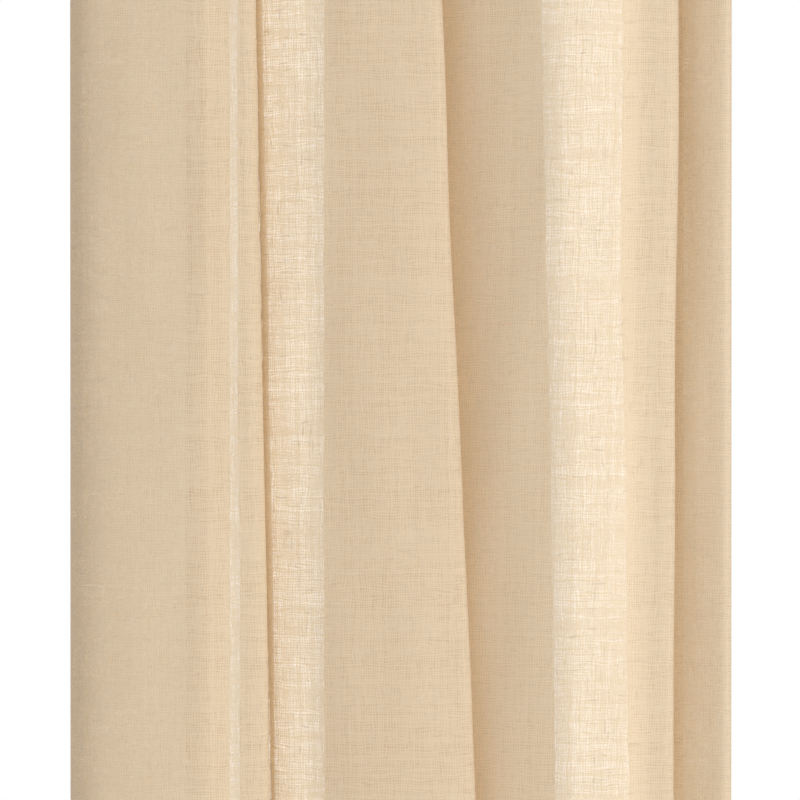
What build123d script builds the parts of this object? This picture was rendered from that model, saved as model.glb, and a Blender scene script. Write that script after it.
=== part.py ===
from build123d import *
import math
import os
from collections import namedtuple

# Eyelet-top curtain panel, hung and partly drawn. All sizes in millimetres.
# The rod runs along X through the origin, which is midway along the row of eyelets.
# The face of the panel looks towards -Y and the drop hangs towards -Z.

# ---- whole panel ----
FLAT_WIDTH = 1321.0  # side edge to side edge, laid flat
FINISHED_DROP = 2134.0  # top edge to bottom edge
GATHERED_WIDTH = 378.0  # first eyelet plane to last, as drawn along the rod

# ---- cloth and what is sewn to it ----
CLOTH_T = 0.7
STIFFENER_T = 0.6
LAYER_GAP = 0.2  # air between two layers of the same seam
SIDE_HEM = 25.0
BOTTOM_HEM = 75.0
HEM_LAYERS = 2  # a hem is turned twice
HEADER_ABOVE_FLANGE = 15.0
HEADER_BELOW_FLANGE = 19.0

# ---- eyelets ----
EYELET_COUNT = 8
BORE_R = 20.0
BARREL_WALL = 1.4
BARREL_CLEARANCE = 0.2  # between the barrel and the back ring
HOLE_CLEARANCE = 0.6  # between the barrel and the punched cloth
FLANGE_WIDTH = 13.0  # bore wall to rim
FRONT_RING_T = 3.0
BACK_RING_T = 2.6
RING_ROUND = 1.2  # rounding of the ring's outer edges
RING_GAP = 0.3  # between a ring and the cloth it clamps

# ---- stitching and label ----
THREAD_WIDTH = 0.6
THREAD_T = 0.3
STITCH_INSET = 3.0  # stitch line to the edge it holds down
LABEL_WIDTH = 30.0
LABEL_HEIGHT = 45.0
LABEL_T = 0.3
LABEL_ABOVE_HEM = 60.0

# ---- folds at the header ----
HEADER_TURN_R = 25.0
HEADER_CREST_FLAT = 4.0  # least straight length across the crest of a fold
FLANGE_ROOM = 1.5  # flat cloth left beyond the rim of a ring
FLAP_TURN_R = 20.0
FLAP_TURN = math.radians(40)
FLAP_REST = 5.0  # straight cloth between that turn and the side hem

# ---- folds of the drop ----
SHOULDER_DEPTH = 450.0  # below the rod, where the folds have settled
MIDDLE_DEPTH = 1150.0  # below the rod, where they stop leaning
LEAN_FROM = 900.0  # below the rod, where the edges below are given
SIDE_TURN_R = 14.0  # turn of the cloth into a side flap behind the panel
CROWN_R = 165.0  # rounding across a wide crest
CROWN_MOST = 3.0  # most and least of that rounding beyond the crest's own turns, in crest widths
CROWN_LEAST = 0.6
CROWN_SLACK = 1.00002  # keeps a hair of straight cloth between a crown and the turns beside it
TUCK_CLEARANCE = 3.0  # between a ridge and the crest tucked in behind it
NARROWEST_FOLD_DEPTH = 22.0
WIDEST_FOLD_DEPTH = 200.0

# Crests of the drop, left to right, in gathered widths from the middle. The sign is -1 in front
# and +1 behind. Each side of a crest has its edge, its turn radius in millimetres, its reach as a
# share of the fold depth, and its lean in gathered widths for each metre down.
Crest = namedtuple("Crest", "sign left left_r left_reach left_lean right right_r right_reach right_lean")
DROP_CRESTS = [
    Crest(-1, -0.500, 34.0, 0.88, 0.00, -0.204, 7.0, 0.95, 0.06),
    Crest(+1, -0.252, 4.5, 0.72, 0.02, -0.203, 4.5, 0.72, 0.04),
    Crest(-1, -0.205, 11.0, 0.70, 0.06, 0.090, 7.0, 0.95, 0.12),
    Crest(+1, -0.120, 12.0, 0.95, 0.00, 0.232, 12.0, 0.95, 0.04),
    Crest(-1, 0.070, 7.0, 0.48, 0.10, 0.410, 6.0, 0.95, 0.00),
    Crest(+1, 0.348, 4.5, 0.58, 0.00, 0.389, 4.5, 0.58, 0.00),
    Crest(-1, 0.399, 7.0, 0.42, 0.00, 0.496, 3.2, 0.76, 0.00),
]
LEFT_FLAP_END = -0.268
RIGHT_FLAP_END = 0.376
FLAP_REACH = 0.75  # share of the fold depth at which the side flaps lie

PITCH = GATHERED_WIDTH / (EYELET_COUNT - 1)
FLANGE_R = BORE_R + FLANGE_WIDTH
TOP_Z = FLANGE_R + HEADER_ABOVE_FLANGE
HEADER_BOTTOM_Z = -(FLANGE_R + HEADER_BELOW_FLANGE)
BOTTOM_Z = TOP_Z - FINISHED_DROP
HEM_TOP_Z = BOTTOM_Z + BOTTOM_HEM

# Layers are measured from the middle of the cloth, positive towards its reverse.
FACE = -CLOTH_T / 2
REVERSE = CLOTH_T / 2
STIFFENER_LAYER = (REVERSE + LAYER_GAP, REVERSE + LAYER_GAP + STIFFENER_T)
FACING_LAYER = (STIFFENER_LAYER[1] + LAYER_GAP, STIFFENER_LAYER[1] + LAYER_GAP + CLOTH_T)
HEM_LAYER = (REVERSE + LAYER_GAP, REVERSE + LAYER_GAP + HEM_LAYERS * CLOTH_T)
THREAD_LAYER = (FACE - LAYER_GAP - THREAD_T, FACE - LAYER_GAP)
LABEL_LAYER = (REVERSE + LAYER_GAP, REVERSE + LAYER_GAP + LABEL_T)

# A turn of the cloth, seen from above: its centre and its radius, positive where it turns left.
Turn = namedtuple("Turn", "x y r")


def left_of(heading):
    """Unit vector square to a heading, on its left, which is the cloth's reverse."""
    return -math.sin(heading), math.cos(heading)


def beside(turn, heading, offset):
    """Point where a layer, offset from the cloth, runs along a heading past a turn."""
    nx, ny = left_of(heading)
    reach = turn.r - offset
    return turn.x - reach * nx, turn.y - reach * ny


def headings(turns):
    """Heading of each straight run between two turns, without jumps of a full circle."""
    found = []
    for a, b in zip(turns, turns[1:]):
        dx, dy = b.x - a.x, b.y - a.y
        h = math.atan2(dy, dx) - math.asin((b.r - a.r) / math.hypot(dx, dy))
        if found:
            h = found[-1] + (h - found[-1] + math.pi) % (2 * math.pi) - math.pi
        found.append(h)
    return found


def cloth_length(turns):
    """Length of the cloth along its middle, from the first point to the last."""
    runs = headings(turns)
    total = 0.0
    for h, a, b in zip(runs, turns, turns[1:]):
        total += math.dist(beside(a, h, 0), beside(b, h, 0))
    for h0, h1, turn in zip(runs, runs[1:], turns[1:]):
        total += abs((h1 - h0) * turn.r)
    return total


def along(point, heading, distance):
    """Point at a distance from another along a heading."""
    return point[0] + distance * math.cos(heading), point[1] + distance * math.sin(heading)


def layer_edges(turns, offset, z, whole=True):
    """Lines and arcs of one surface of a layer. Without whole, the two side hems are left out."""
    runs = headings(turns)
    edges = []
    for i, h in enumerate(runs):
        stops = [beside(turns[i], h, offset), beside(turns[i + 1], h, offset)]
        if i == 0:
            stops.insert(1, along(stops[0], h, SIDE_HEM))
        if i == len(runs) - 1:
            stops.insert(1, along(stops[-1], h, -SIDE_HEM))
        edges += [Edge.make_line((*a, z), (*b, z)) for a, b in zip(stops, stops[1:])]
        if i + 1 < len(runs):
            middle = (h + runs[i + 1]) / 2
            points = [(*beside(turns[i + 1], a, offset), z) for a in (h, middle, runs[i + 1])]
            edges.append(Edge.make_three_point_arc(*points))
    return edges if whole else edges[1:-1]


def layer_outline(turns, layer, z, whole=True):
    """Closed outline of a layer at one height."""
    near = layer_edges(turns, layer[0], z, whole)
    far = layer_edges(turns, layer[1], z, whole)
    start = Edge.make_line(far[0].position_at(0), near[0].position_at(0))
    end = Edge.make_line(near[-1].position_at(1), far[-1].position_at(1))
    return Wire([*near, end, *reversed(far), start])


def strip_outline(turns, layer, first, last, z, from_end=False):
    """Closed outline of a strip on an end run, between two distances from the side edge."""
    runs = headings(turns)
    turn, h, way = (turns[-1], runs[-1], -1) if from_end else (turns[0], runs[0], 1)
    corners = []
    for distance, offset in ((first, layer[0]), (last, layer[0]), (last, layer[1]), (first, layer[1])):
        corners.append((*along(beside(turn, h, offset), h, way * distance), z))
    return Wire.make_polygon(corners, close=True)


def solve_depth(layout):
    """Fold depth at which a layout of folds takes up exactly the flat width of the cloth."""
    low, high = NARROWEST_FOLD_DEPTH, WIDEST_FOLD_DEPTH
    for _ in range(60):
        depth = (low + high) / 2
        if cloth_length(layout(depth)) < FLAT_WIDTH:
            low = depth
        else:
            high = depth
    return layout(depth)


def eyelet_x(number):
    """Place of an eyelet along the rod, numbered from 1 at the left."""
    return (number - (EYELET_COUNT + 1) / 2) * PITCH


def crown(first, last):
    """Wide turn across a crest that meets the turns at its two sides without a corner."""
    sign = 1 if first.r > 0 else -1
    apart = math.dist((first.x, first.y), (last.x, last.y))
    widest_turn = max(abs(first.r), abs(last.r))
    radius = max(min(CROWN_R, widest_turn + CROWN_MOST * apart), widest_turn + CROWN_LEAST * apart)
    reach_first, reach_last = radius - abs(first.r), radius - abs(last.r)
    step = (apart**2 + reach_first**2 - reach_last**2) / (2 * apart)
    heading = math.atan2(last.y - first.y, last.x - first.x)
    nx, ny = left_of(heading)
    aside = sign * CROWN_SLACK * math.sqrt(reach_first**2 - step**2)
    middle = along((first.x, first.y), heading, step)
    return Turn(middle[0] + aside * nx, middle[1] + aside * ny, sign * radius)


def tucked_reach(reach, left, left_r, ridge):
    """Reach of a front crest's left turn, held back where it would touch the ridge in front of it."""
    room = left_r + abs(ridge.r) + TUCK_CLEARANCE
    aside = left - ridge.x
    if aside >= room:
        return reach
    return min(reach, left_r - ridge.y - math.sqrt(room**2 - aside**2))


def header_layout(depth):
    """Even folds between the eyelets, with a short flap curling back at each side edge."""
    spare = depth - FLANGE_R - FLANGE_ROOM
    r = max(1.0, min(HEADER_TURN_R, (PITCH - HEADER_CREST_FLAT) / 2, spare))
    turns = []
    for number in range(1, EYELET_COUNT):
        sign = -1 if number % 2 else 1
        first = Turn(eyelet_x(number) + r, sign * (depth - r), -sign * r)
        last = Turn(eyelet_x(number + 1) - r, sign * (depth - r), -sign * r)
        turns += [first, crown(first, last), last]
    left = header_flap()
    right = [Turn(-turn.x, turn.y, turn.r) for turn in reversed(left)]
    return [*left, *turns, *right]


def header_flap():
    """Side edge and turn of the left flap at the header."""
    turn = Turn(eyelet_x(1) + FLAP_TURN_R, FLANGE_R + FLANGE_ROOM, FLAP_TURN_R)
    heading = -math.pi / 2 - FLAP_TURN
    edge = along(beside(turn, heading, 0), heading, -(SIDE_HEM + FLAP_REST))
    return [Turn(*edge, 0.0), turn]


def drop_layout(depth, below_rod):
    """Folds of the drop at a distance below the rod."""
    lean = (below_rod - LEAN_FROM) / 1000
    flap_y = FLAP_REACH * depth
    side_x = GATHERED_WIDTH / 2 - SIDE_TURN_R
    turns = [Turn(LEFT_FLAP_END * GATHERED_WIDTH, flap_y, 0.0)]
    turns.append(Turn(-side_x, flap_y - SIDE_TURN_R, SIDE_TURN_R))
    ridge = None
    for c in DROP_CRESTS:
        left_r = min(c.left_r, c.left_reach * depth)
        right_r = min(c.right_r, c.right_reach * depth)
        left = (c.left + c.left_lean * lean) * GATHERED_WIDTH + left_r
        right = (c.right + c.right_lean * lean) * GATHERED_WIDTH - right_r
        left_reach = c.left_reach * depth
        if c.sign < 0 and ridge:
            left_reach = tucked_reach(left_reach, left, left_r, ridge)
        first = Turn(left, c.sign * (left_reach - left_r), -c.sign * left_r)
        last = Turn(right, c.sign * (c.right_reach * depth - right_r), -c.sign * right_r)
        if c.sign < 0:
            ridge = last
        turns += [first, crown(first, last), last]
    turns.append(Turn(side_x, flap_y - SIDE_TURN_R, SIDE_TURN_R))
    turns.append(Turn(RIGHT_FLAP_END * GATHERED_WIDTH, flap_y, 0.0))
    return turns


HEADER = solve_depth(header_layout)
SHOULDER = solve_depth(lambda depth: drop_layout(depth, SHOULDER_DEPTH))
FOOT = solve_depth(lambda depth: drop_layout(depth, MIDDLE_DEPTH))
HANGING_LEVELS = [(HEADER, HEADER_BOTTOM_Z), (SHOULDER, -SHOULDER_DEPTH), (FOOT, -MIDDLE_DEPTH)]


def punched(band):
    """A header layer with the row of eyelet holes through it."""
    hole_r = BORE_R + BARREL_WALL + HOLE_CLEARANCE
    return band - Cylinder(hole_r, GATHERED_WIDTH + 2 * PITCH, rotation=(0, 90, 0))


def header_band(layer, top, bottom, whole=True):
    """A layer that follows the header's folds between two heights."""
    outlines = [layer_outline(HEADER, layer, z, whole) for z in (bottom, top)]
    return Solid.make_loft(outlines, ruled=True)


def make_cloth():
    levels = [(HEADER, TOP_Z), *HANGING_LEVELS, (FOOT, BOTTOM_Z)]
    outlines = [layer_outline(turns, (FACE, REVERSE), z) for turns, z in levels]
    return punched(Solid.make_loft(outlines, ruled=True))


def make_side_strip(layer, first, last, from_end):
    """A strip down the drop, beside a side edge, from the header to the bottom hem."""
    levels = [*HANGING_LEVELS, (FOOT, HEM_TOP_Z)]
    outlines = [strip_outline(turns, layer, first, last, z, from_end) for turns, z in levels]
    return Solid.make_loft(outlines, ruled=True)


def make_foot_band(layer, top, bottom):
    """A layer that follows the folds of the bottom hem between two heights."""
    return Solid.make_loft([layer_outline(FOOT, layer, z) for z in (bottom, top)], ruled=True)


def make_label():
    bottom = HEM_TOP_Z + LABEL_ABOVE_HEM
    first = SIDE_HEM + LAYER_GAP
    levels = (bottom, bottom + LABEL_HEIGHT)
    outlines = [strip_outline(FOOT, LABEL_LAYER, first, first + LABEL_WIDTH, z) for z in levels]
    return Solid.make_loft(outlines, ruled=True)


def ring(inner_r, inside, outside):
    """A flat ring round the rod's axis between two places along it, its outer face rounded."""
    thickness = abs(outside - inside)
    solid = Cylinder(FLANGE_R, thickness, rotation=(0, 90, 0)) - Cylinder(inner_r, thickness, rotation=(0, 90, 0))
    solid = solid.moved(Location(((inside + outside) / 2, 0, 0)))
    outer = solid.edges().filter_by(GeomType.CIRCLE)
    outer = outer.sort_by(Axis.X)[-2:] if outside > inside else outer.sort_by(Axis.X)[:2]
    return fillet(outer, RING_ROUND)


def make_eyelet(number):
    """Front ring with its barrel, and back ring, of one eyelet."""
    reverse = 1 if number % 2 else -1
    x = eyelet_x(number)
    face_side = x + reverse * (FACE - RING_GAP)
    reverse_side = x + reverse * (FACING_LAYER[1] + RING_GAP)
    front = ring(BORE_R, face_side, face_side - reverse * FRONT_RING_T)
    barrel_end = reverse_side + reverse * (BACK_RING_T - RING_ROUND)
    barrel_length = abs(barrel_end - face_side)
    barrel = Cylinder(BORE_R + BARREL_WALL, barrel_length, rotation=(0, 90, 0))
    barrel -= Cylinder(BORE_R, barrel_length, rotation=(0, 90, 0))
    front += barrel.moved(Location(((face_side + barrel_end) / 2, 0, 0)))
    back_inner = BORE_R + BARREL_WALL + BARREL_CLEARANCE
    back = ring(back_inner, reverse_side, reverse_side + reverse * BACK_RING_T)
    return front, back


def make_parts():
    """Every piece of the panel by name."""
    header_stitch = (TOP_Z - STITCH_INSET, HEADER_BOTTOM_Z + STITCH_INSET)
    parts = {
        "panel_cloth": make_cloth(),
        "header_stiffener": punched(header_band(STIFFENER_LAYER, TOP_Z, HEADER_BOTTOM_Z, False)),
        "header_facing": punched(header_band(FACING_LAYER, TOP_Z, HEADER_BOTTOM_Z)),
        "bottom_hem": make_foot_band(HEM_LAYER, HEM_TOP_Z, BOTTOM_Z),
        "left_side_hem": make_side_strip(HEM_LAYER, 0.0, SIDE_HEM, False),
        "right_side_hem": make_side_strip(HEM_LAYER, 0.0, SIDE_HEM, True),
        "header_stitching_upper": header_band(THREAD_LAYER, header_stitch[0], header_stitch[0] - THREAD_WIDTH),
        "header_stitching_lower": header_band(THREAD_LAYER, header_stitch[1] + THREAD_WIDTH, header_stitch[1]),
        "bottom_hem_stitching": make_foot_band(
            THREAD_LAYER, HEM_TOP_Z - STITCH_INSET, HEM_TOP_Z - STITCH_INSET - THREAD_WIDTH
        ),
        "care_label": make_label(),
    }
    inner = SIDE_HEM - STITCH_INSET
    for side, from_end in (("left", False), ("right", True)):
        strip = make_side_strip(THREAD_LAYER, inner - THREAD_WIDTH, inner, from_end)
        parts[f"{side}_hem_stitching"] = strip
    for number in range(1, EYELET_COUNT + 1):
        front, back = make_eyelet(number)
        parts[f"eyelet_front_{number}"] = front
        parts[f"eyelet_back_{number}"] = back
    return parts


os.makedirs("parts", exist_ok=True)
for name, shape in make_parts().items():
    export_step(shape, f"parts/{name}.step")
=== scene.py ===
import math
from collections import namedtuple

import bpy
import numpy as np
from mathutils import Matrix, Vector


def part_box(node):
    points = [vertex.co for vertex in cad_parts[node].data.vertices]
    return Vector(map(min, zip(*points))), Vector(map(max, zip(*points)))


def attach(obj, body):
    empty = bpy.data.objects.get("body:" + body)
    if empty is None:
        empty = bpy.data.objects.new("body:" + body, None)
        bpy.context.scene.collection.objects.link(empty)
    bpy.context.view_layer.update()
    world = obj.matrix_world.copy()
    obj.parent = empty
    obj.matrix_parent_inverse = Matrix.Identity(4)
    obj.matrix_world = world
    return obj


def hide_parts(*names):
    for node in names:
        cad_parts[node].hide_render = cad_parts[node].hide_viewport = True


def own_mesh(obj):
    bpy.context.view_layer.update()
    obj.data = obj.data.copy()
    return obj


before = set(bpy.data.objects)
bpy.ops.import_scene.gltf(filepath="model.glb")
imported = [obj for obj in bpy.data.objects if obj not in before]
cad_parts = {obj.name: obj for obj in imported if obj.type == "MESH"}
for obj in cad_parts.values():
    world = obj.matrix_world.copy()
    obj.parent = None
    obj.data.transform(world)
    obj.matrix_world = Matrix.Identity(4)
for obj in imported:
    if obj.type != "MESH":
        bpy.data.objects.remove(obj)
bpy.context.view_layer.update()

MM = 0.001


def node_box(name):
    low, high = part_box(name)
    return np.array(low), np.array(high)


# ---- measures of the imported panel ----
CLOTH_T = 0.7 * MM
CLOTH_LOW, CLOTH_HIGH = node_box("panel_cloth")
RING_LOW, RING_HIGH = node_box("eyelet_front_1")
COUNT = sum(name.startswith("eyelet_front_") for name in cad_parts)
GATHERED = CLOTH_HIGH[0] - CLOTH_LOW[0] - CLOTH_T
PITCH = GATHERED / (COUNT - 1)
FLANGE_R = (RING_HIGH[2] - RING_LOW[2]) / 2
TOP_Z = CLOTH_HIGH[2]
BOTTOM_Z = CLOTH_LOW[2]
HEADER_Z = node_box("header_facing")[0][2]
HEM_Z = node_box("bottom_hem")[1][2]
LABEL_LOW, LABEL_HIGH = node_box("care_label")

# ---- the cloth, as in the CAD model ----
FLAT_WIDTH = 1.321
SIDE_HEM = 25 * MM

# ---- folds at the header ----
HEADER_TURN_R = 25 * MM
FLANGE_ROOM = 1.5 * MM  # flat cloth left beyond the rim of a ring
FLAP_TURN_R = 20 * MM
FLAP_TURN = math.radians(40)
FLAP_REST = 5 * MM  # straight cloth between that turn and the side hem

# ---- folds of the drop ----
SHOULDER_DEPTH = 0.450  # below the rod, where the folds have settled
MIDDLE_DEPTH = 1.150  # below the rod, where they stop leaning
LEAN_FROM = 0.900  # below the rod, where the edges below are given
SIDE_TURN_R = 14 * MM  # turn of the cloth into a side flap behind the panel
FLAP_REACH = 0.75  # share of the fold depth at which the side flaps lie
LEFT_FLAP_END = -0.268
RIGHT_FLAP_END = 0.376
CROWN_R = 165 * MM  # rounding across a wide crest
CROWN_MOST = 3.0  # most and least of that rounding beyond the crest's own turns, in crest widths
CROWN_LEAST = 0.6
CROWN_SLACK = 1.00002  # keeps a hair of straight cloth between a crown and the turns beside it
SHALLOWEST_FOLD = 8 * MM
DEEPEST_FOLD = 200 * MM
DEPTH_HALVINGS = 40

# Crests of the drop, left to right, in gathered widths from the middle. The sign is -1 in front
# and +1 behind. Each side of a crest has its edge, its turn radius in millimetres, its reach as a
# share of the fold depth, and its lean in gathered widths for each metre down.
Crest = namedtuple("Crest", "sign left left_r left_reach left_lean right right_r right_reach right_lean")
DROP_CRESTS = [
    Crest(-1, -0.500, 34.0, 0.88, 0.00, -0.204, 7.0, 0.95, 0.06),
    Crest(+1, -0.252, 4.5, 0.72, 0.02, -0.203, 4.5, 0.72, 0.04),
    Crest(-1, -0.205, 11.0, 0.70, 0.06, 0.090, 7.0, 0.95, 0.12),
    Crest(+1, -0.120, 12.0, 0.95, 0.00, 0.232, 12.0, 0.95, 0.04),
    Crest(-1, 0.070, 7.0, 0.48, 0.10, 0.410, 6.0, 0.95, 0.00),
    Crest(+1, 0.348, 4.5, 0.58, 0.00, 0.389, 4.5, 0.58, 0.00),
    Crest(-1, 0.399, 7.0, 0.42, 0.00, 0.496, 3.2, 0.76, 0.00),
]

# A turn of the cloth, seen from above: its centre and its radius, positive where it turns left.
Turn = namedtuple("Turn", "x y r")


def left_of(heading):
    """Unit vector square to a heading, on its left, which is the cloth's reverse."""
    return np.array((-math.sin(heading), math.cos(heading)))


def beside(turn, heading):
    """Point where the cloth runs along a heading past a turn."""
    return np.array((turn.x, turn.y)) - turn.r * left_of(heading)


def headings(turns):
    """Heading of each straight run between two turns, without jumps of a full circle."""
    found = []
    for a, b in zip(turns, turns[1:]):
        dx, dy = b.x - a.x, b.y - a.y
        h = math.atan2(dy, dx) - math.asin((b.r - a.r) / math.hypot(dx, dy))
        if found:
            h = found[-1] + (h - found[-1] + math.pi) % (2 * math.pi) - math.pi
        found.append(h)
    return found


RUN_POINTS = 14
TURN_POINTS = 10


def outline(turns):
    """Points along a section of the cloth, the same number for every section."""
    runs = headings(turns)
    points = []
    for i, h in enumerate(runs):
        a, b = beside(turns[i], h), beside(turns[i + 1], h)
        points += [a + (b - a) * t for t in np.linspace(0, 1, RUN_POINTS)]
        if i + 1 < len(runs):
            for t in np.linspace(0, 1, TURN_POINTS + 2)[1:-1]:
                points.append(beside(turns[i + 1], h + (runs[i + 1] - h) * t))
    return np.array(points)


def length_of(points):
    return float(np.linalg.norm(np.diff(points, axis=0), axis=1).sum())


def solve_depth(layout):
    """Fold depth at which a layout of folds takes up exactly the flat width of the cloth."""
    low, high = SHALLOWEST_FOLD, DEEPEST_FOLD
    for _ in range(DEPTH_HALVINGS):
        depth = (low + high) / 2
        if length_of(outline(layout(depth))) < FLAT_WIDTH:
            low = depth
        else:
            high = depth
    return depth


def eyelet_x(number):
    """Place of an eyelet along the rod, numbered from 1 at the left."""
    return (number - (COUNT + 1) / 2) * PITCH


def crown(a, b):
    """Wide turn across a crest that meets the turns at its two sides without a corner."""
    sign = 1 if a.r > 0 else -1
    ca, cb = np.array((a.x, a.y)), np.array((b.x, b.y))
    apart = float(np.linalg.norm(cb - ca))
    widest = max(abs(a.r), abs(b.r))
    radius = max(min(CROWN_R, widest + CROWN_MOST * apart), widest + CROWN_LEAST * apart)
    ra, rb = radius - abs(a.r), radius - abs(b.r)
    step = (apart ** 2 + ra ** 2 - rb ** 2) / (2 * apart)
    along = (cb - ca) / apart
    aside = sign * CROWN_SLACK * math.sqrt(ra ** 2 - step ** 2)
    centre = ca + step * along + aside * left_of(math.atan2(along[1], along[0]))
    return Turn(float(centre[0]), float(centre[1]), sign * radius)


def header_layout(depth):
    """Even folds between the eyelets, with a short flap curling back at each side edge."""
    r = min(HEADER_TURN_R, depth - FLANGE_R - FLANGE_ROOM)
    turns = []
    for number in range(1, COUNT):
        sign = -1 if number % 2 else 1
        first = Turn(eyelet_x(number) + r, sign * (depth - r), -sign * r)
        last = Turn(eyelet_x(number + 1) - r, sign * (depth - r), -sign * r)
        turns += [first, crown(first, last), last]
    turn = Turn(eyelet_x(1) + FLAP_TURN_R, FLANGE_R + FLANGE_ROOM, FLAP_TURN_R)
    heading = -math.pi / 2 - FLAP_TURN
    along_edge = np.array((math.cos(heading), math.sin(heading)))
    edge = beside(turn, heading) - (SIDE_HEM + FLAP_REST) * along_edge
    left = [Turn(edge[0], edge[1], 0.0), turn]
    right = [Turn(-t.x, t.y, t.r) for t in reversed(left)]
    return [*left, *turns, *right]


def drop_layout(depth, below_rod):
    """Folds of the drop at a distance below the rod."""
    lean = below_rod - LEAN_FROM
    flap_y = FLAP_REACH * depth
    side_x = GATHERED / 2 - SIDE_TURN_R
    turns = [Turn(LEFT_FLAP_END * GATHERED, flap_y, 0.0)]
    turns.append(Turn(-side_x, flap_y - SIDE_TURN_R, SIDE_TURN_R))
    for c in DROP_CRESTS:
        left_r, right_r = c.left_r * MM, c.right_r * MM
        left = (c.left + c.left_lean * lean) * GATHERED + left_r
        right = (c.right + c.right_lean * lean) * GATHERED - right_r
        first = Turn(left, c.sign * (c.left_reach * depth - left_r), -c.sign * left_r)
        last = Turn(right, c.sign * (c.right_reach * depth - right_r), -c.sign * right_r)
        turns += [first, crown(first, last), last]
    turns.append(Turn(side_x, flap_y - SIDE_TURN_R, SIDE_TURN_R))
    turns.append(Turn(RIGHT_FLAP_END * GATHERED, flap_y, 0.0))
    return turns


def smooth(t):
    """From 0 to 1 with no corner at either end."""
    t = min(max(t, 0.0), 1.0)
    return t * t * (3 - 2 * t)


HEADER_POINTS = outline(header_layout(solve_depth(header_layout)))
SHOULDER_FOLD = solve_depth(lambda d: drop_layout(d, SHOULDER_DEPTH))
FOOT_FOLD = solve_depth(lambda d: drop_layout(d, MIDDLE_DEPTH))


def waves(rng, count, s_span, z_span):
    """Random gentle waves over the cloth, each as wave numbers along s and z, a phase and a way."""
    found = []
    for _ in range(count):
        found.append((2 * math.pi / rng.uniform(*s_span), 2 * math.pi / rng.uniform(*z_span),
                      rng.uniform(0, 2 * math.pi), rng.choice((-1, 1))))
    return found


rng = np.random.default_rng(7)
BROAD = waves(rng, 7, (0.16, 0.40), (0.5, 1.6))
FINE = waves(rng, 9, (0.035, 0.09), (0.12, 0.45))
PUCKER = waves(rng, 6, (0.011, 0.024), (0.06, 0.2))


def wave_sum(found, s, z):
    """Height of the waves at distances s along the cloth and one height z."""
    total = np.zeros_like(s)
    for ks, kz, phase, way in found:
        total += np.sin(ks * s + way * kz * z + phase)
    return total / math.sqrt(len(found))


def near(distance, reach):
    """1 at a seam, falling away over its reach."""
    return np.exp(-(distance / reach) ** 2)


RIPPLE_SETTLES = 0.25  # below the header, where the ripples reach their full height
BROAD_HEIGHT = 1.6 * MM
FINE_HEIGHT = 0.35 * MM
SEAM_PUCKER = 0.35 * MM
SIDE_PUCKER = 0.25 * MM
HEM_PUCKER_REACH = 22 * MM
HEADER_PUCKER_REACH = 18 * MM
HEADER_PUCKER_SHARE = 0.8
SIDE_PUCKER_REACH = 14 * MM


def ripple(s, z):
    """How far the cloth stands off its smooth fold, towards its reverse."""
    settled = smooth((HEADER_Z - z) / RIPPLE_SETTLES)
    seams = near(z - HEM_Z, HEM_PUCKER_REACH) + near(z - HEADER_Z, HEADER_PUCKER_REACH) * HEADER_PUCKER_SHARE
    sides = near(s - SIDE_HEM, SIDE_PUCKER_REACH) + near(FLAT_WIDTH - SIDE_HEM - s, SIDE_PUCKER_REACH)
    off = settled * (BROAD_HEIGHT * wave_sum(BROAD, s, z) + FINE_HEIGHT * wave_sum(FINE, s, z))
    off += SEAM_PUCKER * seams * wave_sum(PUCKER, s, z)
    off += SIDE_PUCKER * sides * wave_sum(PUCKER, np.full_like(s, z), 0.0) * settled
    return off


STEADY_WIDTH = 25 * MM


def steady(points):
    """How freely the cloth ripples, from none at the panel's two outer folds to all of it inside."""
    room = np.clip((GATHERED / 2 - np.abs(points[:, 0])) / STEADY_WIDTH, 0, 1)
    return room * room * (3 - 2 * room)


COLUMNS = 561
SOFTEN_COLUMNS = 1.1
SOFTEN_REACH = 4
LEAST_STEP = 1e-7  # points of a section nearer than this are one point
S_GRID = np.linspace(0, FLAT_WIDTH, COLUMNS)
section_cache = {}


def section(z):
    """Cloth at one height: points and reverse-side normals at even steps of cloth from the left edge."""
    key = round(float(z), 6)
    if key in section_cache:
        return section_cache[key]
    below = -key
    to_drop = smooth((HEADER_Z - key) / (SHOULDER_DEPTH + HEADER_Z))
    lean_depth = min(max(below, SHOULDER_DEPTH), MIDDLE_DEPTH)
    share = (lean_depth - SHOULDER_DEPTH) / (MIDDLE_DEPTH - SHOULDER_DEPTH)
    fold = SHOULDER_FOLD + (FOOT_FOLD - SHOULDER_FOLD) * share
    points = HEADER_POINTS
    if to_drop > 0:
        points = (1 - to_drop) * HEADER_POINTS + to_drop * outline(drop_layout(fold, lean_depth))
    arc = np.r_[0, np.cumsum(np.linalg.norm(np.diff(points, axis=0), axis=1))]
    keep = np.r_[True, np.diff(arc) > LEAST_STEP]
    arc, points = arc[keep] * FLAT_WIDTH / arc[-1], points[keep]
    even = np.stack([np.interp(S_GRID, arc, points[:, i]) for i in (0, 1)], axis=1)
    even = soften(even, SOFTEN_COLUMNS)
    tangent = np.gradient(even, axis=0)
    tangent /= np.linalg.norm(tangent, axis=1)[:, None]
    normal = np.stack([-tangent[:, 1], tangent[:, 0]], axis=1)
    even = even + normal * (ripple(S_GRID, key) * steady(even))[:, None]
    section_cache[key] = (even, normal)
    return section_cache[key]


def soften(points, width):
    """Rounds a section a little, over a number of columns, and keeps its ends."""
    weights = np.exp(-0.5 * (np.arange(-SOFTEN_REACH, SOFTEN_REACH + 1) / width) ** 2)
    weights /= weights.sum()
    before = 2 * points[0] - points[SOFTEN_REACH:0:-1]
    after = 2 * points[-1] - points[-2:-SOFTEN_REACH - 2:-1]
    padded = np.vstack([before, points, after])
    return np.stack([np.convolve(padded[:, i], weights, mode="valid") for i in (0, 1)], axis=1)


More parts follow.
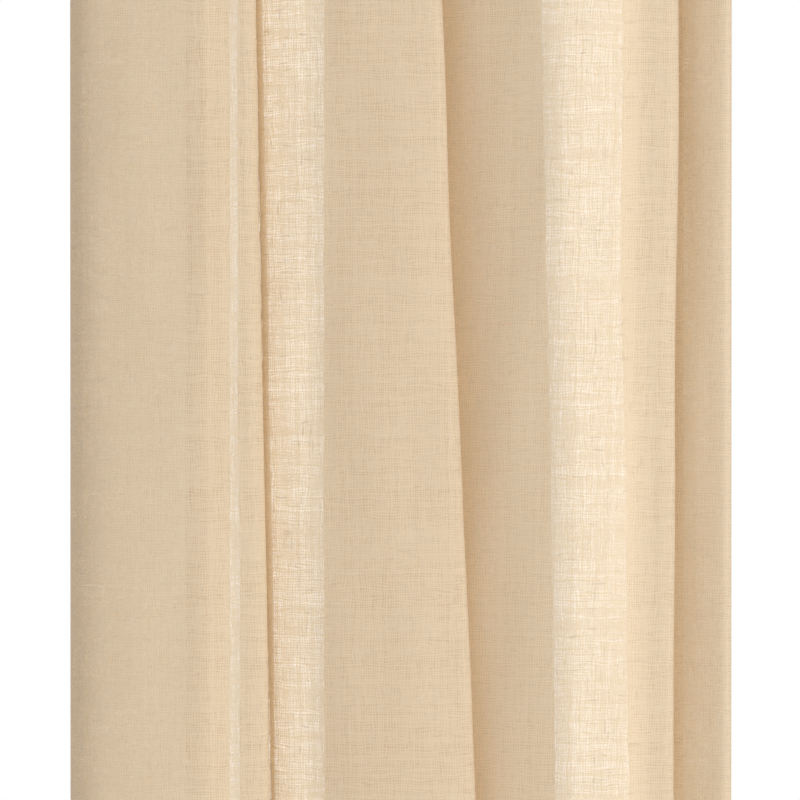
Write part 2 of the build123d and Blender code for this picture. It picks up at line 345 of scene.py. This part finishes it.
def on_cloth(s, z, off):
    """Points beside the cloth at distances s from its left edge, at one height, off its middle."""
    s = np.atleast_1d(np.asarray(s, float))
    off = np.broadcast_to(np.asarray(off, float), s.shape)
    points, normals = section(z)
    inside = np.clip(s, 0, FLAT_WIDTH)
    xy = np.stack([np.interp(inside, S_GRID, points[:, i]) for i in (0, 1)], axis=1)
    nn = np.stack([np.interp(inside, S_GRID, normals[:, i]) for i in (0, 1)], axis=1)
    nn /= np.linalg.norm(nn, axis=1)[:, None]
    along = np.stack([nn[:, 1], -nn[:, 0]], axis=1)
    xy = xy + along * (s - inside)[:, None] + nn * off[:, None]
    return np.column_stack([xy, np.full(len(s), float(z))])


# ---- mesh helpers ----
def new_object(name, verts, faces, material, uvs=None):
    """A smooth-shaded mesh object in the scene. Its map, where it has one, is the cloth laid flat."""
    mesh = bpy.data.meshes.new(name)
    mesh.from_pydata([tuple(map(float, v)) for v in verts], [], faces)
    if uvs is not None:
        layer = mesh.uv_layers.new(name="flat_cloth")
        index = np.empty(len(mesh.loops), dtype=np.int32)
        mesh.loops.foreach_get("vertex_index", index)
        layer.data.foreach_set("uv", np.asarray(uvs, dtype=np.float32)[index].ravel())
    mesh.polygons.foreach_set("use_smooth", [True] * len(mesh.polygons))
    mesh.update()
    obj = bpy.data.objects.new(name, mesh)
    bpy.context.scene.collection.objects.link(obj)
    mesh.materials.append(material)
    return obj


def grid_faces(rows, columns, keep=None):
    """Faces between rows of points, without those that keep turns down."""
    faces = []
    for i in range(rows - 1):
        for j in range(columns - 1):
            if keep is None or keep(i, j):
                a = i * columns + j
                faces.append((a, a + 1, a + columns + 1, a + columns))
    return faces


def eyelet_stops():
    """Cloth distance of each eyelet from the left edge, at the header."""
    points, _ = section(0.0)
    stops = []
    for number in range(1, COUNT + 1):
        centre = np.array((eyelet_x(number), 0.0))
        stops.append(S_GRID[np.linalg.norm(points - centre, axis=1).argmin()])
    return stops


EYELET_STOPS = eyelet_stops()
HOLE_R = 25 * MM  # hidden under the rings, clear of their barrels


def in_hole(s, z):
    return any(math.hypot(s - stop, z) < HOLE_R for stop in EYELET_STOPS)


def outside_holes(s_values, levels):
    """Test of a grid face: whether its middle lies outside every eyelet hole."""
    def keep(i, j):
        s, z = (s_values[j] + s_values[j + 1]) / 2, (levels[i] + levels[i + 1]) / 2
        return abs(z) > HOLE_R or not in_hole(s, z)

    return keep


def heights(low, high, step):
    """Even heights about a step apart, with both ends."""
    return list(np.linspace(low, high, max(2, round((high - low) / step) + 1)))


HEADER_STEP = 4 * MM
HEM_STEP = 7.5 * MM
DROP_STEP = 15 * MM
HEADER_ROWS = heights(HEADER_Z, TOP_Z, HEADER_STEP)
HEM_ROWS = heights(BOTTOM_Z, HEM_Z, HEM_STEP)
DROP_ROWS = heights(HEM_Z, HEADER_Z, DROP_STEP)
ALL_ROWS = HEM_ROWS[:-1] + DROP_ROWS[:-1] + HEADER_ROWS


def sheet_mesh(name, rows, s_values, off, material, holes=False):
    """A sheet beside the cloth, over heights and cloth distances."""
    verts, uvs = [], []
    for z in rows:
        verts.append(on_cloth(s_values, z, off))
        uvs.append(np.column_stack([s_values, np.full(len(s_values), z)]))
    keep = outside_holes(s_values, rows) if holes else None
    faces = grid_faces(len(rows), len(s_values), keep)
    return new_object(name, np.vstack(verts), faces, material, np.vstack(uvs))


def band_mesh(name, profile, s_values, material, holes=False):
    """A band along the panel whose section is a list of (height, distance off the cloth)."""
    verts, uvs, run = [], [], 0.0
    for k, (z, off) in enumerate(profile):
        if k:
            run += math.dist(profile[k], profile[k - 1])
        inside = min(max(z, BOTTOM_Z), TOP_Z)
        ring = on_cloth(s_values, inside, off)
        ring[:, 2] = z
        verts.append(ring)
        uvs.append(np.column_stack([s_values, np.full(len(s_values), run + profile[0][0])]))
    keep = outside_holes(s_values, [z for z, _ in profile]) if holes else None
    faces = grid_faces(len(profile), len(s_values), keep)
    return new_object(name, np.vstack(verts), faces, material, np.vstack(uvs))


def side_mesh(name, profile, rows, material, from_right=False):
    """A band down a side edge whose section is a list of (distance from the edge, off the cloth)."""
    verts, uvs = [], []
    runs = np.r_[0, np.cumsum([math.dist(a, b) for a, b in zip(profile, profile[1:])])]
    for z in rows:
        s = np.array([FLAT_WIDTH - d if from_right else d for d, _ in profile])
        verts.append(on_cloth(s, z, np.array([off for _, off in profile])))
        uvs.append(np.column_stack([runs, np.full(len(profile), z)]))
    return new_object(name, np.vstack(verts), grid_faces(len(rows), len(profile)), material, np.vstack(uvs))


# ---- shader helpers ----
class Nodes:
    """Short calls for building a node tree."""

    def __init__(self, name):
        self.material = bpy.data.materials.new(name)
        self.material.use_nodes = True
        self.tree = self.material.node_tree
        self.tree.nodes.clear()

    def add(self, kind, **settings):
        node = self.tree.nodes.new(kind)
        inputs = settings.pop("inputs", {})
        for key, value in settings.items():
            setattr(node, key, value)
        for key, value in inputs.items():
            if isinstance(value, bpy.types.NodeSocket):
                self.tree.links.new(value, node.inputs[key])
            else:
                node.inputs[key].default_value = value
        return node

    def math(self, operation, a, b=None, c=None):
        values = {0: a}
        if b is not None:
            values[1] = b
        if c is not None:
            values[2] = c
        return self.add("ShaderNodeMath", operation=operation, inputs=values).outputs[0]

    def ramp(self, value, low, high, to_low=0.0, to_high=1.0):
        return self.add("ShaderNodeMapRange", clamp=True, inputs={
            "Value": value, "From Min": low, "From Max": high, "To Min": to_low, "To Max": to_high}).outputs[0]

    def noise(self, vector, scale, detail=2.0, roughness=0.5):
        return self.add("ShaderNodeTexNoise", inputs={
            "Vector": vector, "Scale": scale, "Detail": detail, "Roughness": roughness}).outputs["Fac"]

    def vector(self, x, y, z=0.0):
        return self.add("ShaderNodeCombineXYZ", inputs={0: x, 1: y, 2: z}).outputs[0]

    def mix_color(self, factor, a, b):
        node = self.add("ShaderNodeMix", data_type="RGBA")
        for key, value in ((0, factor), (6, a), (7, b)):
            if isinstance(value, bpy.types.NodeSocket):
                self.tree.links.new(value, node.inputs[key])
            else:
                node.inputs[key].default_value = value
        return node.outputs[2]

    def bump(self, strength, distance, height):
        return self.add("ShaderNodeBump", inputs={
            "Strength": strength, "Distance": distance, "Height": height}).outputs[0]

    def finish(self, shader):
        self.add("ShaderNodeOutputMaterial", inputs={"Surface": shader})
        return self.material


THREAD = 1.43 * MM  # from one thread to the next
WANDER = 2.8  # whole range of a thread's straying, in threads
WANDER_ACROSS, WANDER_ALONG = 230.0, 55.0  # scales of the noises, for each metre of cloth
SPUN_ALONG, SLUB_ALONG = 60.0, 85.0
CLOUD = 210.0
OWN_SHARE, SPUN_SHARE = 0.50, 1.1  # of a thread's thickness: its own, and what varies along it
PROFILE_SHARE = 0.95
MEAN_THICKNESS = 0.65
SLUB_FROM, SLUB_FULL = 0.64, 0.76
LEAST_COVER = 0.58  # share of the view covered by thread where the weave is most open
OPEN_WEAVE, CLOSE_WEAVE = 0.12, 0.66
SHEER_PASS, DENSE_PASS = 0.50, 0.22  # share of the light let through by thin and by dense threads


def thread_set(n, across, along, seed):
    """One set of parallel threads: how solid they are, and their slubs."""
    place = n.vector(n.math("MULTIPLY", across, WANDER_ACROSS), n.math("MULTIPLY", along, WANDER_ALONG), seed)
    stray = n.math("SUBTRACT", n.noise(place, 1.0, 2.0), 0.5)
    index = n.math("MULTIPLY_ADD", stray, WANDER, n.math("DIVIDE", across, THREAD))
    profile = n.math("MULTIPLY_ADD", n.math("COSINE", n.math("MULTIPLY", index, 2 * math.pi)), 0.5, 0.5)
    number = n.math("ROUND", index)
    own = n.add("ShaderNodeTexWhiteNoise", noise_dimensions="2D",
                inputs={"Vector": n.vector(number, seed)}).outputs["Value"]
    place = n.vector(n.math("MULTIPLY", number, 3.7), n.math("MULTIPLY", along, SPUN_ALONG), seed + 3)
    spun = n.noise(place, 1.0, 2.0)
    fat = n.math("ADD", n.math("MULTIPLY", own, OWN_SHARE), n.math("MULTIPLY", spun, SPUN_SHARE))
    solid = n.math("ADD", n.math("MULTIPLY", profile, PROFILE_SHARE), n.math("SUBTRACT", fat, MEAN_THICKNESS))
    place = n.vector(n.math("MULTIPLY", number, 5.3), n.math("MULTIPLY", along, SLUB_ALONG), seed + 7)
    slub = n.ramp(n.noise(place, 1.0, 1.0), SLUB_FROM, SLUB_FULL)
    slub = n.math("MULTIPLY", slub, n.ramp(profile, 0.0, 0.6))
    return n.ramp(solid, -0.1, 1.1), slub


def make_linen(name, thread_tone, fibre_tone, transmit, slub_tone):
    """Semi-sheer plain weave: light comes between its threads and through them, less through slubs."""
    n = Nodes(name)
    uv = n.add("ShaderNodeUVMap", uv_map="flat_cloth").outputs[0]
    split = n.add("ShaderNodeSeparateXYZ", inputs={0: uv})
    u, v = split.outputs[0], split.outputs[1]
    warp, warp_slub = thread_set(n, u, v, 1.3)
    weft, weft_slub = thread_set(n, v, u, 5.1)
    slub = n.math("MAXIMUM", n.math("MULTIPLY", warp_slub, 0.8), weft_slub)
    body = n.math("ADD", warp, weft)
    cloud = n.noise(n.vector(n.math("MULTIPLY", u, CLOUD), n.math("MULTIPLY", v, CLOUD)), 1.0, 3.0, 0.6)
    dense = n.math("MULTIPLY_ADD", n.math("SUBTRACT", cloud, 0.5), 0.30, n.math("MULTIPLY", body, 0.5))
    alpha = n.ramp(dense, OPEN_WEAVE, CLOSE_WEAVE, LEAST_COVER, 1.0)
    passing = n.ramp(n.math("MULTIPLY_ADD", slub, 0.5, dense), 0.15, 1.0, SHEER_PASS, DENSE_PASS)
    front_tone = n.mix_color(n.ramp(dense, OPEN_WEAVE, CLOSE_WEAVE), fibre_tone, thread_tone)
    front_tone = n.mix_color(n.math("MULTIPLY", slub, 0.16), front_tone, slub_tone)
    thick = n.math("MULTIPLY_ADD", slub, 0.85, n.ramp(dense, 0.25, 0.85, 0.0, 0.55))
    back_tone = n.mix_color(n.math("MINIMUM", thick, 1.0), transmit, slub_tone)
    height = n.math("ADD", body, slub)
    bump = n.bump(0.14, 0.0004, height)
    front = n.add("ShaderNodeBsdfPrincipled", inputs={
        "Base Color": front_tone, "Roughness": 0.7, "Sheen Weight": 0.25, "Sheen Roughness": 0.5,
        "Specular IOR Level": 0.4, "Normal": bump}).outputs[0]
    through = n.add("ShaderNodeBsdfTranslucent", inputs={"Color": back_tone}).outputs[0]
    cloth = n.add("ShaderNodeMixShader", inputs={0: passing, 1: front, 2: through}).outputs[0]
    clear = n.add("ShaderNodeBsdfTransparent").outputs[0]
    return n.finish(n.add("ShaderNodeMixShader", inputs={0: alpha, 1: clear, 2: cloth}).outputs[0])


def make_plain_cloth(name, color, scale, rough=0.9):
    """Matted or ribbed cloth with a fine grain."""
    n = Nodes(name)
    uv = n.add("ShaderNodeUVMap", uv_map="flat_cloth").outputs[0]
    grain = n.noise(uv, scale, 4.0, 0.65)
    darker = tuple(c * 0.86 for c in color) + (1,)
    lighter = tuple(min(1, c * 1.06) for c in color) + (1,)
    tone = n.mix_color(grain, darker, lighter)
    bump = n.bump(0.3, 0.0003, grain)
    front = n.add("ShaderNodeBsdfPrincipled", inputs={
        "Base Color": tone, "Roughness": rough, "Specular IOR Level": 0.2, "Normal": bump}).outputs[0]
    through = n.add("ShaderNodeBsdfTranslucent", inputs={"Color": tone, "Normal": bump}).outputs[0]
    return n.finish(n.add("ShaderNodeMixShader", inputs={0: 0.3, 1: front, 2: through}).outputs[0])


def make_thread():
    """Twisted sewing thread."""
    n = Nodes("sewing_thread")
    place = n.add("ShaderNodeTexCoord").outputs["Object"]
    twist = n.noise(place, 2600.0, 2.0)
    tone = n.mix_color(twist, (0.66, 0.53, 0.37, 1), (0.84, 0.71, 0.53, 1))
    bump = n.bump(0.4, 0.0002, twist)
    return n.finish(n.add("ShaderNodeBsdfPrincipled", inputs={
        "Base Color": tone, "Roughness": 0.55, "Sheen Weight": 0.3, "Normal": bump}).outputs[0])


BRUSHED_ACROSS, BRUSHED_ROUND = 9000.0, 3.0


def make_nickel():
    """Brushed nickel coating, brushed round the ring, with faint handling marks."""
    n = Nodes("brushed_nickel")
    place = n.add("ShaderNodeTexCoord").outputs["Object"]
    split = n.add("ShaderNodeSeparateXYZ", inputs={0: place})
    y, z = split.outputs[1], split.outputs[2]
    radius = n.math("SQRT", n.math("ADD", n.math("MULTIPLY", y, y), n.math("MULTIPLY", z, z)))
    around = n.math("ARCTAN2", z, y)
    place_round = n.vector(n.math("MULTIPLY", radius, BRUSHED_ACROSS),
                           n.math("MULTIPLY", around, BRUSHED_ROUND), split.outputs[0])
    brushed = n.noise(place_round, 1.0, 3.0, 0.7)
    marks = n.noise(place, 120.0, 4.0, 0.6)
    tone = n.mix_color(brushed, (0.50, 0.48, 0.45, 1), (0.66, 0.64, 0.60, 1))
    rough = n.math("ADD", n.ramp(brushed, 0.2, 0.8, 0.24, 0.38), n.math("MULTIPLY", marks, 0.12))
    bump = n.bump(0.12, 0.0001, brushed)
    return n.finish(n.add("ShaderNodeBsdfPrincipled", inputs={
        "Base Color": tone, "Metallic": 1.0, "Roughness": rough, "Normal": bump}).outputs[0])


LINEN = make_linen("linen_voile", thread_tone=(0.86, 0.72, 0.525, 1), fibre_tone=(0.99, 0.875, 0.68, 1),
                   transmit=(0.91, 0.77, 0.56, 1), slub_tone=(0.50, 0.36, 0.21, 1))
STIFFENER = make_plain_cloth("nonwoven_stiffener", (0.86, 0.84, 0.79), 900.0)
SATIN = make_plain_cloth("label_satin", (0.90, 0.89, 0.86), 2200.0, 0.45)
SEWING_THREAD = make_thread()
NICKEL = make_nickel()

# ---- layers, from the middle of the cloth towards its reverse ----
STIFFENER_OFF = 0.85 * MM
FACING_OFF = 1.70 * MM
HEM_OFF = 1.50 * MM
FACE_OFF = -0.45 * MM
EDGE_ROUND = 0.8 * MM
STIFFENER_INSET_LOW, STIFFENER_INSET_HIGH = 2 * MM, 1 * MM
BAND_STEP = 4 * MM


def turned_band(edge_z, inner_z, off):
    """Profile of a band that wraps an edge and is turned under at its inner end."""
    way = 1 if inner_z < edge_z else -1
    profile = [(edge_z, 0.0), (edge_z + way * EDGE_ROUND * 0.7, off * 0.2),
               (edge_z + way * EDGE_ROUND, off * 0.5), (edge_z + way * EDGE_ROUND * 0.7, off * 0.8),
               (edge_z - way * 0.5 * MM, off)]
    steps = max(3, round(abs(edge_z - inner_z) / BAND_STEP))
    profile += [(edge_z + (inner_z - edge_z) * t, off) for t in np.linspace(0, 1, steps + 1)[1:-1]]
    profile += [(inner_z + way * 0.6 * MM, off), (inner_z, off * 0.9), (inner_z + way * 0.5 * MM, off * 0.62),
                (inner_z + way * 10 * MM, off * 0.55)]
    return profile


def build_cloth():
    """The cloth with its facing, stiffener and hems."""
    cloth = sheet_mesh("panel_cloth_sheet", ALL_ROWS, S_GRID, 0.0, LINEN, holes=True)
    facing_profile = turned_band(TOP_Z, HEADER_Z, FACING_OFF)
    facing = band_mesh("header_facing_strip", facing_profile, S_GRID, LINEN, holes=True)
    inner = S_GRID[(S_GRID > SIDE_HEM) & (S_GRID < FLAT_WIDTH - SIDE_HEM)]
    levels = heights(HEADER_Z + STIFFENER_INSET_LOW, TOP_Z - STIFFENER_INSET_HIGH, HEADER_STEP)
    stiffener = sheet_mesh("header_stiffener_strip", levels, inner, STIFFENER_OFF, STIFFENER, holes=True)
    hem = band_mesh("bottom_hem_turned", turned_band(BOTTOM_Z, HEM_Z, HEM_OFF), S_GRID, LINEN)
    rows = [z for z in ALL_ROWS if HEM_Z <= z <= HEADER_Z]
    sides = []
    for side, from_right in (("left", False), ("right", True)):
        profile = [(-d, off) for d, off in turned_band(0.0, -SIDE_HEM, HEM_OFF)]
        sides.append(side_mesh(f"{side}_side_hem_turned", profile, rows, LINEN, from_right))
    return cloth, facing, stiffener, hem, sides


cloth, facing, stiffener, hem, sides = build_cloth()
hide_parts("panel_cloth")
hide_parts("header_facing")
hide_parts("header_stiffener")
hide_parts("bottom_hem")
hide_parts("left_side_hem")
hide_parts("right_side_hem")
soft = [cloth, facing, stiffener, hem, *sides]

# ---- stitching ----
STITCH_PITCH = 3.1 * MM
STITCH_LENGTH = 2.5 * MM
THREAD_R = 0.24 * MM
STITCH_INSET = 3 * MM
SIDES_OF_THREAD = 5
STITCH_RINGS = ((-0.5, 0.35), (-0.32, 1.0), (0.32, 1.0), (0.5, 0.35))  # shares of its length and radius
STITCH_SINK = 0.9
ON_BAND = 0.15 * MM  # from a hem or facing to the middles of the stitches on it
NEAR_BY = 0.5 * MM  # between points from which a direction is taken


def stitch_row(name, points, normals):
    """A row of short rounded stitches whose middles are the points, lying on the cloth."""
    verts, faces = [], []
    for centre, along, up in zip(points, *normals):
        across = np.cross(along, up)
        start = len(verts)
        for t, r in STITCH_RINGS:
            sink = STITCH_SINK * THREAD_R * (1 - r)
            for k in range(SIDES_OF_THREAD):
                a = 2 * math.pi * k / SIDES_OF_THREAD
                off = r * THREAD_R * (math.cos(a) * across + math.sin(a) * up) - sink * up
                verts.append(centre + t * STITCH_LENGTH * along + off)
        for ring in range(3):
            first = start + ring * SIDES_OF_THREAD
            for k in range(SIDES_OF_THREAD):
                a, b = first + k, first + (k + 1) % SIDES_OF_THREAD
                faces.append((a, b, b + SIDES_OF_THREAD, a + SIDES_OF_THREAD))
        faces.append(tuple(start + k for k in reversed(range(SIDES_OF_THREAD))))
        faces.append(tuple(start + 3 * SIDES_OF_THREAD + k for k in range(SIDES_OF_THREAD)))
    return new_object(name, verts, faces, SEWING_THREAD)


def level_stitches(name, z, reverse_off):
    """Stitches along the panel at one height, on its face and on its reverse."""
    s = np.arange(STITCH_PITCH, FLAT_WIDTH - STITCH_PITCH, STITCH_PITCH)
    points, alongs, ups = [], [], []
    for off in (FACE_OFF, reverse_off):
        middle = on_cloth(s, z, off)
        along = on_cloth(s + NEAR_BY, z, off) - on_cloth(s - NEAR_BY, z, off)
        along /= np.linalg.norm(along, axis=1)[:, None]
        up = np.cross(np.array((0, 0, 1.0)), along) * (1 if off > 0 else -1)
        points.append(middle)
        alongs.append(along)
        ups.append(up)
    return stitch_row(name, np.vstack(points), (np.vstack(alongs), np.vstack(ups)))


def side_stitches(name, s, low, high):
    """Stitches down the panel at one distance from its left edge, on both faces."""
    points, alongs, ups = [], [], []
    for z in np.arange(low + STITCH_PITCH, high - STITCH_PITCH, STITCH_PITCH):
        for off in (FACE_OFF, HEM_OFF + ON_BAND):
            here, above = on_cloth(s, z, off)[0], on_cloth(s, z + 2 * NEAR_BY, off)[0]
            aside = on_cloth(s + NEAR_BY, z, off)[0] - here
            along = (above - here) / np.linalg.norm(above - here)
            up = np.cross(aside / np.linalg.norm(aside), along) * (-1 if off > 0 else 1)
            points.append(here)
            alongs.append(along)
            ups.append(up)
    return stitch_row(name, points, (alongs, ups))


def build_stitching():
    """The five rows of stitching, each as separate stitches."""
    inner = SIDE_HEM - STITCH_INSET
    on_facing, on_hem = FACING_OFF + ON_BAND, HEM_OFF + ON_BAND
    rows = {
        "header_stitching_upper": level_stitches("header_stitches_upper", TOP_Z - STITCH_INSET, on_facing),
        "header_stitching_lower": level_stitches("header_stitches_lower", HEADER_Z + STITCH_INSET, on_facing),
        "bottom_hem_stitching": level_stitches("bottom_hem_stitches", HEM_Z - STITCH_INSET, on_hem),
        "left_hem_stitching": side_stitches("left_hem_stitches", inner, HEM_Z, HEADER_Z),
        "right_hem_stitching": side_stitches("right_hem_stitches", FLAT_WIDTH - inner, HEM_Z, HEADER_Z),
    }
    for node, piece in rows.items():
        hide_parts(node)
        soft.append(piece)


LABEL_OFF = HEM_OFF * 0.6
LABEL_CAUGHT = 2 * MM  # how far it goes into the seam
LABEL_BOW = 0.5 * MM
LABEL_GAP = 0.45 * MM  # between its two layers
LABEL_STEP = 3 * MM


def build_label():
    """A blank satin ribbon, folded once, caught in the left side seam."""
    first, last = SIDE_HEM - LABEL_CAUGHT, SIDE_HEM + (LABEL_HIGH[0] - LABEL_LOW[0])
    out = [(first + (last - first) * t, LABEL_OFF + LABEL_BOW * math.sin(math.pi * t))
           for t in np.linspace(0, 1, 12)]
    back = [(s, off + LABEL_GAP) for s, off in reversed(out)]
    profile = out + [(last + 0.4 * MM, LABEL_OFF + 0.22 * MM)] + back
    label = side_mesh("care_label_ribbon", profile, heights(LABEL_LOW[2], LABEL_HIGH[2], LABEL_STEP), SATIN)
    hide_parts("care_label")
    soft.append(label)


build_stitching()
build_label()

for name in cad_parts:
    if name.startswith("eyelet_"):
        bpy.data.objects[name].material_slots[0].material = NICKEL

# ---- motion ----
for piece in soft:
    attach(piece, "panel")
    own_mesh(piece)

# ---- stage, light and camera ----
VIEW_Z = -0.900
VIEW_DISTANCE = 1.60
VIEW_WIDTH = 0.4618
SENSOR = 36.0  # millimetres
AMBIENT = 0.56  # share of the surroundings' brightness that lights the cloth
FLOOR_HALF = 2.0
FLOOR_GAP = 12 * MM


def build_stage():
    """A plain pale floor just below the panel."""
    z = BOTTOM_Z - FLOOR_GAP
    corners = [(-FLOOR_HALF, -FLOOR_HALF, z), (FLOOR_HALF, -FLOOR_HALF, z),
               (FLOOR_HALF, FLOOR_HALF, z), (-FLOOR_HALF, FLOOR_HALF, z)]
    floor_mesh = bpy.data.meshes.new("floor")
    floor_mesh.from_pydata(corners, [], [(0, 1, 2, 3)])
    floor = bpy.data.objects.new("floor", floor_mesh)
    bpy.context.scene.collection.objects.link(floor)
    n = Nodes("pale_floor")
    floor_mesh.materials.append(n.finish(n.add("ShaderNodeBsdfPrincipled", inputs={
        "Base Color": (0.82, 0.81, 0.79, 1), "Roughness": 0.7}).outputs[0]))


def area_light(name, place, target, size, power):
    """A rectangular lamp turned to its target and not seen itself."""
    data = bpy.data.lights.new(name, "AREA")
    data.shape = "RECTANGLE"
    data.size, data.size_y = size
    data.energy = power
    light = bpy.data.objects.new(name, data)
    light.location = place
    direction = Vector(np.array(target) - np.array(place))
    light.rotation_euler = direction.to_track_quat("-Z", "Y").to_euler()
    light.visible_camera = False
    bpy.context.scene.collection.objects.link(light)


def build_light():
    """White surroundings that light the cloth less than they show, a key from the right and a back light."""
    world = bpy.data.worlds.new("studio")
    bpy.context.scene.world = world
    world.use_nodes = True
    tree = world.node_tree
    background = tree.nodes["Background"]
    background.inputs[0].default_value = (1, 1, 1, 1)
    seen = tree.nodes.new("ShaderNodeLightPath")
    strength = tree.nodes.new("ShaderNodeMapRange")
    strength.inputs["To Min"].default_value = AMBIENT
    strength.inputs["To Max"].default_value = 1.0
    tree.links.new(seen.outputs["Is Camera Ray"], strength.inputs["Value"])
    tree.links.new(strength.outputs[0], background.inputs[1])
    area_light("key", place=(1.8, -2.4, -0.7), target=(0, 0, -1.0), size=(0.9, 2.6), power=52)
    area_light("back", place=(0.0, 2.6, -0.9), target=(0, 0, -1.0), size=(0.5, 2.8), power=50)


def build_camera():
    """The photograph's view: level, from the front, of the middle of the drop."""
    camera = bpy.data.objects.new("camera", bpy.data.cameras.new("camera"))
    camera.data.sensor_width = SENSOR
    camera.data.lens = SENSOR * VIEW_DISTANCE / VIEW_WIDTH
    camera.location = (0.0, -VIEW_DISTANCE, VIEW_Z)
    camera.rotation_euler = (math.pi / 2, 0, 0)
    bpy.context.scene.collection.objects.link(camera)
    bpy.context.scene.camera = camera


build_stage()
build_light()
build_camera()
bpy.context.scene.view_settings.view_transform = "Standard"
